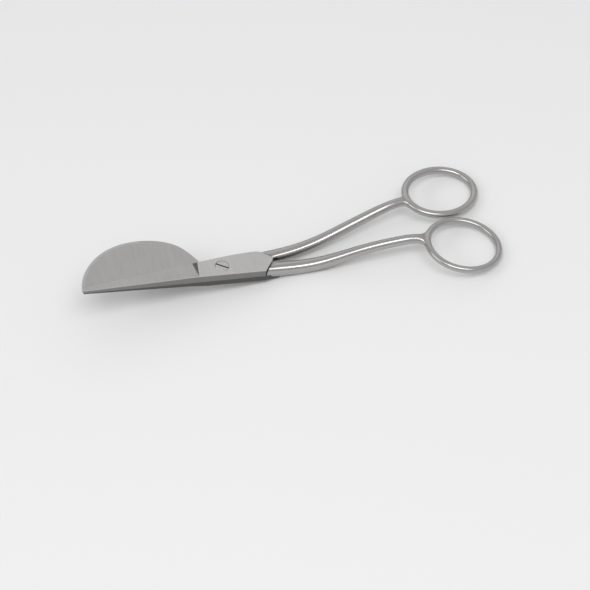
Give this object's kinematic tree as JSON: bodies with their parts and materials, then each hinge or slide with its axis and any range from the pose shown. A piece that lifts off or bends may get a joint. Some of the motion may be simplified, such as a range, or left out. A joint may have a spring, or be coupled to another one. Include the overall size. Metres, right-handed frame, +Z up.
{
  "type": "duckbill scissors",
  "caption": "Duckbill scissors: a narrow blade over a half-round paddle, joined by a flush slotted screw, with offset shanks and finger rings.",
  "frame": {"origin": "on the surface that the closed scissors lie on, below the middle of their bounding box", "axes": "+X from the blade tips to the finger rings, +Y to the paddle's half-round side, +Z up; at rest the pivot axis leans 12.6 degrees from +Z towards +X, because the scissors lie on the ring ends and on the belly of a shank"},
  "size_m": [0.155, 0.0566, 0.0199],
  "materials": {
    "cutting_half_steel": "stainless steel, blade and plate ground satin, shank and ring polished",
    "duckbill_half_steel": "stainless steel, paddle and plate ground satin, shank and ring polished",
    "screw_steel": "stainless steel, head ground flush with the plate"
  },
  "bodies": {
    "duckbill_side": {"duckbill_half": "duckbill_half_steel", "pivot_screw": "screw_steel"},
    "cutting_side": {"cutting_half": "cutting_half_steel"}
  },
  "joints": [
    {"name": "pivot", "type": "hinge", "parent": "duckbill_side", "child": "cutting_side", "pos_m": [-0.02628, -0.00041, 0.00743], "axis": [0.2179, 0, 0.976], "range_deg": [0, 60]}
  ]
}
